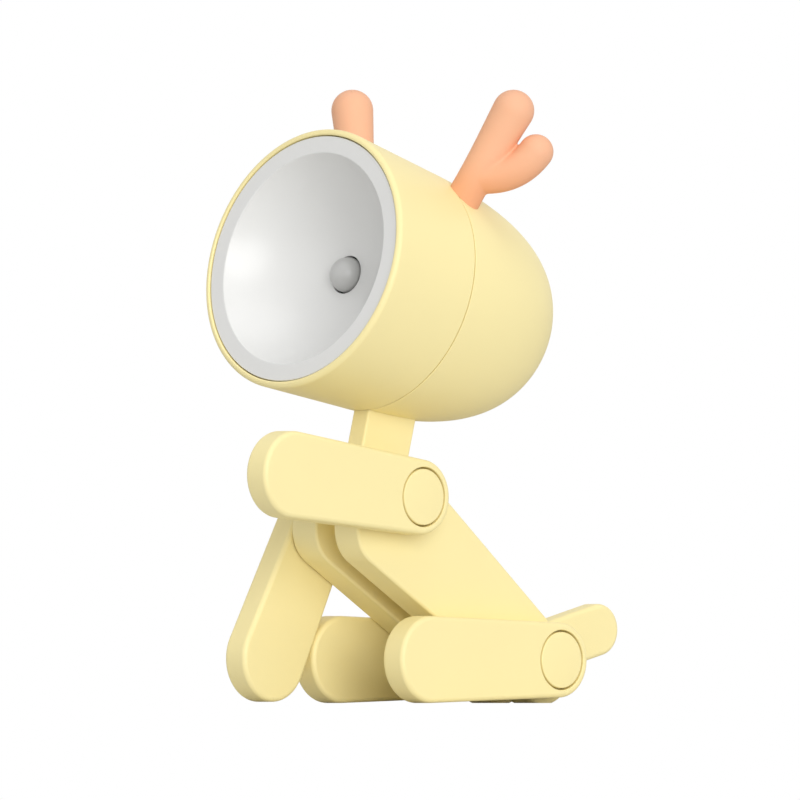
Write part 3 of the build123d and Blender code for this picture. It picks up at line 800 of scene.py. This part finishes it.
def shell_abs():
    """Cream ABS from a fine spark-eroded mould: even and satin, with soft broad highlights."""
    base = colours().shell
    material, tree, shader, place = blank("cream satin ABS", IOR=1.54, Specular_IOR_Level=0.35)
    grain(tree, shader, place, spacing=0.4 * MM, gloss=(0.40, 0.54), relief=0.10)
    dark, light = shaded(base, 0.985), shaded(base, 1.01)
    cloud(tree, shader, place, 14 * MM, dark, light)
    return material


def reflector_white():
    """White plastic from a polished mould: it spreads the light evenly under a soft gloss."""
    base = colours().reflector
    material, tree, shader, place = blank("white polished reflector plastic", IOR=1.52)
    grain(tree, shader, place, spacing=0.5 * MM, gloss=(0.28, 0.36), relief=0.03)
    dark, light = shaded(base, 0.985), shaded(base, 1.01)
    cloud(tree, shader, place, 9 * MM, dark, light)
    return material


def ramp_along(tree, place, direction, start, end, first, last):
    """A colour that runs from one place to another along a direction."""
    along = add_node(
        tree, "ShaderNodeVectorMath", {0: place, 1: direction}, operation="DOT_PRODUCT"
    )
    part = add_node(
        tree,
        "ShaderNodeMapRange",
        {
            "Value": along.outputs["Value"],
            "From Min": start.dot(direction),
            "From Max": end.dot(direction),
        },
        interpolation_type="SMOOTHSTEP",
    )
    tint = add_node(
        tree,
        "ShaderNodeMix",
        {MIX_PART: part.outputs[0], MIX_FIRST: first, MIX_LAST: last},
        data_type="RGBA",
    )
    return tint.outputs[MIX_COLOUR]


def led_epoxy():
    """Cast epoxy with a milky filler and a soft gloss, its colour painted lighter at the dome and
    painted darker, as shade, towards its foot.
    """
    material, tree, shader, place = blank("milky LED epoxy", IOR=1.54)
    grain(tree, shader, place, spacing=0.3 * MM, gloss=(0.28, 0.36), relief=0.03)
    # Painted light and shade: the colour runs from a lighter dome tip to a darker foot
    tip = head_place(bowl_floor() - head().led_radius, 0)
    foot = head_place(bowl_floor(), 0)
    tint = ramp_along(tree, place, rearward, tip, foot, colours().epoxy_lit_tip, colours().epoxy_shaded_foot)
    tree.links.new(tint, shader.inputs["Base Color"])
    return material


def antler_silicone():
    """Soft matt silicone: light goes a little way in, and the colour is warmer near the head."""
    material, tree, shader, place = blank(
        "peach matt silicone",
        IOR=1.41,
        Specular_IOR_Level=0.2,
        Subsurface_Weight=0.05,
        Subsurface_Radius=(1.0, 0.45, 0.3),
        Subsurface_Scale=1.0 * MM,
    )
    grain(tree, shader, place, spacing=0.35 * MM, gloss=(0.48, 0.6), relief=0.08)
    root = antler_root(1)
    rise = Vector((0, 0, 1))
    tip = root + rise * horns().prong_up
    tint = ramp_along(tree, place, rise, root, tip, colours().antler_root, colours().antler_tip)
    tree.links.new(tint, shader.inputs["Base Color"])
    return material


def plated(name, base, gloss):
    """Plated metal with fine turning marks that run round X."""
    material, tree, shader, place = blank(name, Metallic=1.0)
    lined = add_node(tree, "ShaderNodeMapping", {"Vector": place, "Scale": (8, 1, 1)})
    grain(tree, shader, lined.outputs[0], 0.6 * MM, gloss, relief=0.08)
    cloud(tree, shader, place, 3 * MM, shaded(base, 0.92), shaded(base, 1.04))
    return material


def zinc_steel():
    """Zinc-plated steel of axles, nuts, washers and screws: bright, slightly cloudy."""
    return plated("zinc-plated steel", colours().steel, (0.26, 0.4))


def nickel_can():
    """Nickel-plated cans of the button cells: brighter and smoother than the fasteners."""
    return plated("nickel-plated can", colours().nickel, (0.14, 0.24))


def stamped_brass():
    """Stamped brass sheet of the contacts: warm, with rolling marks."""
    return plated("stamped brass", colours().brass, (0.22, 0.36))


def board_laminate():
    """Glass laminate under solder mask: deep green and glossy, with its weave of 0.5 mm showing."""
    base = colours().laminate
    material, tree, shader, place = blank("solder-masked laminate", IOR=1.5)
    weave = add_node(
        tree,
        "ShaderNodeTexChecker",
        {"Vector": place, "Scale": 1 / (0.5 * MM), 1: shaded(base, 0.9), 2: base},
    )
    tree.links.new(weave.outputs["Color"], shader.inputs["Base Color"])
    grain(tree, shader, place, spacing=0.5 * MM, gloss=(0.24, 0.34), relief=0.06)
    return material


def dull(name, base, spacing, gloss, relief):
    """Matt polymer with a fine texture and a slow change of tone."""
    material, tree, shader, place = blank(name, IOR=1.5)
    grain(tree, shader, place, spacing, gloss, relief)
    cloud(tree, shader, place, 6 * MM, shaded(base, 0.88), shaded(base, 1.12))
    return material


def black_abs():
    """Black moulded ABS of the holder and switch: matt with a little sheen."""
    base = colours().black
    return dull("black moulded ABS", base, spacing=0.4 * MM, gloss=(0.38, 0.52), relief=0.12)


def wire_jacket():
    """Soft vinyl wire jacket: smooth with a waxy sheen."""
    base = colours().wire
    return dull("soft vinyl jacket", base, spacing=0.5 * MM, gloss=(0.34, 0.44), relief=0.04)


def washer_rubber():
    """Dark rubber of the friction washers: matt and dusty."""
    base = colours().rubber
    return dull("matt washer rubber", base, spacing=0.3 * MM, gloss=(0.7, 0.85), relief=0.2)


def floor_paint():
    """Matt white paint, with the faint stipple of a roller."""
    base = colours().floor
    material, tree, shader, place = blank("matt floor paint", IOR=1.45)
    grain(tree, shader, place, spacing=2 * MM, gloss=(0.72, 0.84), relief=0.03)
    seen = cloud(tree, shader, place, 300 * MM, shaded(base, 0.99), base)
    ray = add_node(tree, "ShaderNodeLightPath").outputs["Is Camera Ray"]
    tint = add_node(
        tree,
        "ShaderNodeMix",
        {MIX_PART: ray, MIX_FIRST: colours().floor_bounce, MIX_LAST: seen},
        data_type="RGBA",
    )
    tree.links.new(tint.outputs[MIX_COLOUR], shader.inputs["Base Color"])
    return material


finishes = {
    "yellow_abs": shell_abs,
    "white_reflector": reflector_white,
    "led_epoxy": led_epoxy,
    "peach_silicone": antler_silicone,
    "steel": zinc_steel,
    "brass_contact": stamped_brass,
    "cell_steel": nickel_can,
    "board_laminate": board_laminate,
    "black_plastic": black_abs,
    "wire_jacket": wire_jacket,
    "friction_rubber": washer_rubber,
}
made_finishes = {}


def finish(slot):
    """The material of a record slot, made once."""
    if slot not in made_finishes:
        made_finishes[slot] = finishes[slot]()
    return made_finishes[slot]


# Pieces


def through(knots, run):
    """Value at a run of the smooth curve through some knots, each a run and its value."""
    total = 0.0
    for place, value in knots:
        for other, _ in knots:
            if other != place:
                value *= (run - other) / (place - other)
        total += value
    return total


def main_tine(name, side):
    """The upright tine: waisted below the fork, fuller above it, with a round end."""
    sizes = horns()
    run = antler_run(side, sizes.main_out, sizes.main_up)
    along = run.normalized()
    out = along.orthogonal().normalized()
    foot = antler_root(side) - along * sizes.main_base
    length = run.length + sizes.main_base
    knots = (
        (0, sizes.main_base),
        (sizes.main_base + sizes.waist_rise, sizes.main_waist),
        (sizes.main_base + sizes.swell_rise, sizes.main_swell),
        (length, sizes.main_tip),
    )
    places = [length * step / TINE_RINGS for step in range(TINE_RINGS + 1)]
    profile = [(0, 0), *((place, through(knots, place)) for place in places)]
    profile += arc(length, 0, sizes.main_tip, 90, 0, TINE_RINGS // 2)[1:]
    points = [foot + along * place + out * radius for place, radius in profile]
    return spun(name, points, foot, along, TINE_SIDES)


def side_prong(name, side):
    """The prong: a row of balls along a curve that bends upwards, so close that they can melt."""
    sizes = horns()
    first = hypot(sizes.bend_out - sizes.fork_out, sizes.bend_up - sizes.fork_up)
    second = hypot(sizes.prong_out - sizes.bend_out, sizes.prong_up - sizes.bend_up)
    share = first / (first + second)
    outs = ((0, sizes.fork_out), (share, sizes.bend_out), (1, sizes.prong_out))
    ups = ((0, sizes.fork_up), (share, sizes.bend_up), (1, sizes.prong_up))
    radii = ((0, sizes.prong_root), (1, sizes.prong_tip))
    bpy.ops.object.select_all(action="DESELECT")
    for step in range(sizes.prong_balls):
        run = step / (sizes.prong_balls - 1)
        bpy.ops.mesh.primitive_uv_sphere_add(
            segments=BALL_SIDES,
            ring_count=BALL_SIDES // 2,
            radius=through(radii, run),
            location=antler_root(side) + antler_run(side, through(outs, run), through(ups, run)),
        )
        if step == 0:
            bpy.ops.object.transform_apply(location=True, rotation=True, scale=True)
            prong = start_piece(name)
            bpy.ops.object.mode_set(mode="EDIT")
    bpy.ops.object.mode_set(mode="OBJECT")
    return prong


def antler_pin(name, side, radius):
    """The pin that holds an antler in the rear shell."""
    sizes = horns()
    root = antler_root(side)
    along = antler_run(side, sizes.main_out, sizes.main_up).normalized()
    out = along.orthogonal().normalized()
    inner = root - along * sizes.pin_length
    outer = root + along * sizes.main_base
    points = [inner, inner + out * radius, outer + out * radius, outer]
    return spun(name, points, root, along, PIN_SIDES)


class NIGHT_LIGHT_OT_shells(bpy.types.Operator):
    """Model the front and rear shells of the head"""

    bl_idname = "night_light.shells"
    bl_label = "Head shells"

    def execute(self, context):
        front = head_spun("front_shell_form", front_profile())
        shade(front)
        settle(front, "front_shell")
        rear = head_spun("rear_shell_form", rear_profile())
        self.fit_neck(rear)
        for side in antlers.values():
            combine(rear, antler_pin("pin_hole", side, horns().pin_radius + horns().pin_clearance))
        shade(rear)
        settle(rear, "rear_shell")
        return {"FINISHED"}

    def fit_neck(self, rear):
        """Add the two ribs that clamp the neck, and cut its slot and screw holes."""
        sizes = head()
        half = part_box("neck")[1].x + sizes.neck_slot
        middle = neck_depth()
        slot_back = middle + sizes.neck_width / 2 + sizes.neck_slot
        rib_front = middle - sizes.neck_width / 2 + sizes.rib_bite
        rib_root = shell_radius(sizes.parting_depth) - sizes.shell_wall - sizes.rib_bite
        rib_depths = (rib_front, slot_back + sizes.rib_bite)
        tab_end = neck_tab_end()
        for side in (-1, 1):
            rib_sides = (side * half / 2, side * (half + sizes.rib_thickness))
            rib = block("rib", rib_depths, (tab_end, rib_root), rib_sides)
            combine(rear, rib, "UNION")
        slot_front = sizes.parting_depth - sizes.lip_depth - MM
        slot_drops = (tab_end - MM, sizes.rim_radius)
        combine(rear, block("slot", (slot_front, slot_back), slot_drops, (-half, half)))
        reach = half + 2 * sizes.rib_thickness
        for end in (-1, 1):
            screw = head_place(
                middle + end * sizes.neck_screw_spread / 2, -(tab_end + sizes.neck_screw_inset)
            )
            drill(rear, screw, sizes.neck_screw_hole, -reach, reach)


class NIGHT_LIGHT_OT_reflector(bpy.types.Operator):
    """Model the white reflector"""

    bl_idname = "night_light.reflector"
    bl_label = "Reflector"

    def execute(self, context):
        bowl = head_spun("reflector_form", reflector_profile())
        shade(bowl)
        settle(bowl, "reflector")
        return {"FINISHED"}


class NIGHT_LIGHT_OT_led(bpy.types.Operator):
    """Model the domed LED"""

    bl_idname = "night_light.led"
    bl_label = "LED"

    def execute(self, context):
        lamp = head_spun("led_form", led_profile())
        shade(lamp)
        settle(lamp, "led")
        return {"FINISHED"}


class NIGHT_LIGHT_OT_button(bpy.types.Operator):
    """Model the power button"""

    bl_idname = "night_light.button"
    bl_label = "Power button"

    def execute(self, context):
        button = head_spun("power_button_form", button_profile())
        shade(button)
        settle(button, "power_button")
        return {"FINISHED"}


class NIGHT_LIGHT_OT_antlers(bpy.types.Operator):
    """Model the two antlers"""

    bl_idname = "night_light.antlers"
    bl_label = "Antlers"

    def execute(self, context):
        for node, side in antlers.items():
            self.make(node, side)
        return {"FINISHED"}

    def make(self, node, side):
        """Melt tine and prong together, soften the fork and trim the foot to the head."""
        sizes = horns()
        prong = side_prong("prong", side)
        antler = main_tine(node + "_form", side)
        prong.select_set(True)
        bpy.ops.object.join()
        bpy.ops.object.modifier_add(type="REMESH")
        melt = antler.modifiers[-1]
        melt.mode = "VOXEL"
        melt.voxel_size = sizes.voxel
        bpy.ops.object.modifier_apply(modifier=melt.name)
        bpy.ops.object.mode_set(mode="EDIT")
        bpy.ops.mesh.select_all(action="SELECT")
        bpy.ops.mesh.vertices_smooth(factor=SOFTEN_SHARE, repeat=sizes.soften)
        bpy.ops.object.mode_set(mode="OBJECT")
        combine(antler, head_spun("head_form", head_form_profile()))
        combine(antler, antler_pin("pin", side, sizes.pin_radius), "UNION")
        shade(antler)
        settle(antler, node)


class NIGHT_LIGHT_OT_neck(bpy.types.Operator):
    """Model the flat neck"""

    bl_idname = "night_light.neck"
    bl_label = "Neck"

    def execute(self, context):
        sizes = head()
        low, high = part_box("neck")
        half = sizes.neck_width / 2
        top = sizes.neck_rise + sizes.neck_tab
        corner = sizes.neck_corner
        ends = [(shoulder, half)]
        for side in (-1, 1):
            place = shoulder + upward * (top - corner) + rearward * side * (half - corner)
            ends.append((place, corner))
        neck = hull_bar("neck_form", ends, low.x, high.x, bars().neck_edge)
        drill(neck, shoulder, bars().axle_bore, low.x - MM, high.x + MM)
        for side in (-1, 1):
            screw = shoulder + upward * (top - sizes.neck_screw_inset)
            screw += rearward * side * sizes.neck_screw_spread / 2
            drill(neck, screw, sizes.neck_screw_hole, low.x - MM, high.x + MM)
        shade(neck)
        settle(neck, "neck")
        return {"FINISHED"}


class NIGHT_LIGHT_OT_torso(bpy.types.Operator):
    """Model the two torso plates"""

    bl_idname = "night_light.torso"
    bl_label = "Torso plates"

    def execute(self, context):
        sizes = bars()
        chest = shoulder - Vector((0, sizes.chest_forward, sizes.chest_drop))
        heel = Vector((0, hip.y + sizes.heel_back, sizes.torso_radius - sizes.heel_sink))
        ends = [(corner, sizes.torso_radius) for corner in (shoulder, chest, heel)]
        for node in plates:
            inner, outer = bar_sides(node)
            edge = sizes.plate_round
            plate = hull_bar(node + "_form", ends, inner, outer, edge, flat_at=(0, 0, 0))
            for pivot in (shoulder, hip):
                drill(plate, pivot, sizes.axle_bore, 2 * inner - outer, 2 * outer - inner)
            shade(plate)
            settle(plate, node)
        return {"FINISHED"}


class NIGHT_LIGHT_OT_legs(bpy.types.Operator):
    """Model the four legs"""

    bl_idname = "night_light.legs"
    bl_label = "Legs"

    def execute(self, context):
        sizes = bars()
        for node in legs:
            inner, outer = bar_sides(node)
            ends = ((leg_pivot(node), sizes.pivot_radius), (leg_tip(node), sizes.tip_radius))
            leg = hull_bar(node + "_form", ends, inner, outer, sizes.edge_round)
            combine(leg, self.pivot_tool(node, inner, outer))
            shade(leg)
            settle(leg, node)
        return {"FINISHED"}

    def pivot_tool(self, node, inner, outer):
        """The stepped tool that cuts the cap's seat, nut room, axle bore and washer recess."""
        sizes = bars()
        out = 1 if outer > inner else -1
        seat = sizes.cap_radius + sizes.cap_gap
        steps = (
            (outer + out * MM, 0),
            (outer + out * MM, seat + sizes.seat_round + MM),
            (outer - out * sizes.seat_round, seat),
            (outer - out * sizes.seat_groove, seat),
            (outer - out * sizes.seat_groove, sizes.cap_radius),
            (outer - out * sizes.cap_thickness, sizes.cap_radius),
            (outer - out * sizes.cap_thickness, sizes.nut_bore),
            (outer - out * sizes.nut_depth, sizes.nut_bore),
            (outer - out * sizes.nut_depth, sizes.axle_bore),
            (inner + out * sizes.washer_depth, sizes.axle_bore),
            (inner + out * sizes.washer_depth, sizes.washer_bore),
            (inner - out * MM, sizes.washer_bore),
            (inner - out * MM, 0),
        )
        return pivot_spun("pivot_tool", steps, leg_pivot(node))


class NIGHT_LIGHT_OT_caps(bpy.types.Operator):
    """Model the round caps over the pivots"""

    bl_idname = "night_light.caps"
    bl_label = "Pivot caps"

    def execute(self, context):
        sizes = bars()
        for leg in legs:
            node = leg.replace("front_leg", "shoulder_cap").replace("hind_leg", "hip_cap")
            inner, outer = bar_sides(leg)
            out = 1 if outer > inner else -1
            edge = sizes.cap_round
            back = outer - out * sizes.cap_thickness
            ring_end = back - out * sizes.cap_ring_depth
            ring_inside = sizes.cap_ring - sizes.cap_ring_wall
            rounding = arc(-edge, sizes.cap_radius - edge, edge, 0, 90, SMALL_EDGE_POINTS)
            profile = [(outer, 0)]
            profile += [(outer + out * depth, radius) for depth, radius in rounding]
            profile += [(back, sizes.cap_radius), (back, sizes.cap_ring)]
            profile += [(ring_end, sizes.cap_ring), (ring_end, ring_inside)]
            profile += [(back, ring_inside), (back, 0)]
            cap = pivot_spun(node + "_form", profile, leg_pivot(leg))
            shade(cap)
            settle(cap, node)
        return {"FINISHED"}


class NIGHT_LIGHT_OT_tail(bpy.types.Operator):
    """Model the flat tail"""

    bl_idname = "night_light.tail"
    bl_label = "Tail"

    def execute(self, context):
        sizes = bars()
        low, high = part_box("tail")
        end = hip + sizes.tail_reach * Vector((0, cos(sizes.tail_lift), sin(sizes.tail_lift)))
        radius = sizes.tail_width / 2
        ends = ((hip, radius), (end, radius))
        tail = hull_bar("tail_form", ends, low.x, high.x, sizes.edge_round)
        drill(tail, hip, sizes.axle_bore, low.x - MM, high.x + MM)
        shade(tail)
        settle(tail, "tail")
        return {"FINISHED"}


class NIGHT_LIGHT_OT_inner_parts(bpy.types.Operator):
    """Give the pieces inside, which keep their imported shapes, their finishes"""

    bl_idname = "night_light.inner_parts"
    bl_label = "Inner parts"

    def execute(self, context):
        for node, slot in slots.items():
            piece = frame["nodes"][node]
            if not piece.hide_render:
                for place in piece.material_slots:
                    place.material = finish(slot)
        return {"FINISHED"}


class NIGHT_LIGHT_OT_stage(bpy.types.Operator):
    """Set up the floor, the soft light and the camera"""

    bl_idname = "night_light.stage"
    bl_label = "Stage"

    def execute(self, context):
        settings = context.scene.lamp_stage
        context.scene.view_settings.view_transform = "Standard"
        bpy.ops.object.select_all(action="DESELECT")
        bpy.ops.mesh.primitive_plane_add(
            size=settings.floor_size, location=(0, 0, -settings.floor_drop)
        )
        floor = start_piece("floor")
        floor.data.materials.append(floor_paint())
        self.light_world(context.scene, settings.ambient)
        for name in ("key", "fill", "top"):
            height = getattr(settings, name + "_height")
            turn = getattr(settings, name + "_azimuth")
            bpy.ops.object.light_add(type="SUN", rotation=(pi / 2 - height, 0, turn))
            context.object.name = name
            context.object.data.energy = getattr(settings, name)
            context.object.data.angle = settings.softness
        target = Vector((settings.target_x, settings.target_y, settings.target_z))
        towards = Vector((sin(settings.azimuth), -cos(settings.azimuth), 0))
        bpy.ops.object.camera_add(
            location=target + towards * settings.camera_distance,
            rotation=(pi / 2, 0, settings.azimuth),
        )
        camera = context.object
        camera.data.type = "ORTHO"
        camera.data.ortho_scale = settings.view_width
        camera.data.clip_start = settings.camera_distance / CLIP_PARTS
        context.scene.camera = camera
        return {"FINISHED"}

    def light_world(self, scene, ambient):
        """Even light from all round, behind a background that looks white."""
        world = bpy.data.worlds.new("white studio")
        scene.world = world
        world.use_nodes = True
        tree = world.node_tree
        rays = add_node(tree, "ShaderNodeLightPath").outputs
        seen = rays["Is Camera Ray"]
        for kind in ("Is Glossy Ray", "Is Transmission Ray"):
            either = add_node(tree, "ShaderNodeMath", {0: seen, 1: rays[kind]}, operation="MAXIMUM")
            seen = either.outputs[0]
        level = add_node(
            tree, "ShaderNodeMapRange", {"Value": seen, "To Min": ambient, "To Max": 1.0}
        )
        background = tree.nodes["Background"]
        background.inputs["Color"].default_value = (1, 1, 1, 1)
        tree.links.new(level.outputs[0], background.inputs["Strength"])


steps = (
    NIGHT_LIGHT_OT_shells,
    NIGHT_LIGHT_OT_reflector,
    NIGHT_LIGHT_OT_led,
    NIGHT_LIGHT_OT_button,
    NIGHT_LIGHT_OT_antlers,
    NIGHT_LIGHT_OT_neck,
    NIGHT_LIGHT_OT_torso,
    NIGHT_LIGHT_OT_legs,
    NIGHT_LIGHT_OT_caps,
    NIGHT_LIGHT_OT_tail,
    NIGHT_LIGHT_OT_inner_parts,
    NIGHT_LIGHT_OT_stage,
)
groups = {
    "lamp_head": HeadSizes,
    "lamp_bars": BarSizes,
    "lamp_antlers": AntlerSizes,
    "lamp_colours": LampColours,
    "lamp_stage": StageSettings,
}


class NIGHT_LIGHT_PT_sidebar(bpy.types.Panel):
    """Sizes, colours and steps of the lamp"""

    bl_idname = "NIGHT_LIGHT_PT_sidebar"
    bl_label = "Night light"
    bl_space_type = "VIEW_3D"
    bl_region_type = "UI"
    bl_category = "Night light"

    def draw(self, context):
        for step in steps:
            self.layout.operator(step.bl_idname)
        for name, group in groups.items():
            box = self.layout.box()
            for value in group.__annotations__:
                box.prop(getattr(context.scene, name), value)


def register():
    """Register the classes and hang the sizes on the scene."""
    for made in (*groups.values(), *steps, NIGHT_LIGHT_PT_sidebar):
        bpy.utils.register_class(made)
    for name, group in groups.items():
        setattr(bpy.types.Scene, name, PointerProperty(type=group))


def unregister():
    """Take all of it away again."""
    for name in groups:
        delattr(bpy.types.Scene, name)
    for made in reversed((*groups.values(), *steps, NIGHT_LIGHT_PT_sidebar)):
        bpy.utils.unregister_class(made)


def main():
    """Run every step in order."""
    register()
    bpy.ops.night_light.shells()
    bpy.ops.night_light.reflector()
    bpy.ops.night_light.led()
    bpy.ops.night_light.button()
    bpy.ops.night_light.antlers()
    bpy.ops.night_light.neck()
    bpy.ops.night_light.torso()
    bpy.ops.night_light.legs()
    bpy.ops.night_light.caps()
    bpy.ops.night_light.tail()
    bpy.ops.night_light.inner_parts()
    bpy.ops.night_light.stage()


if __name__ == "__main__":
    main()
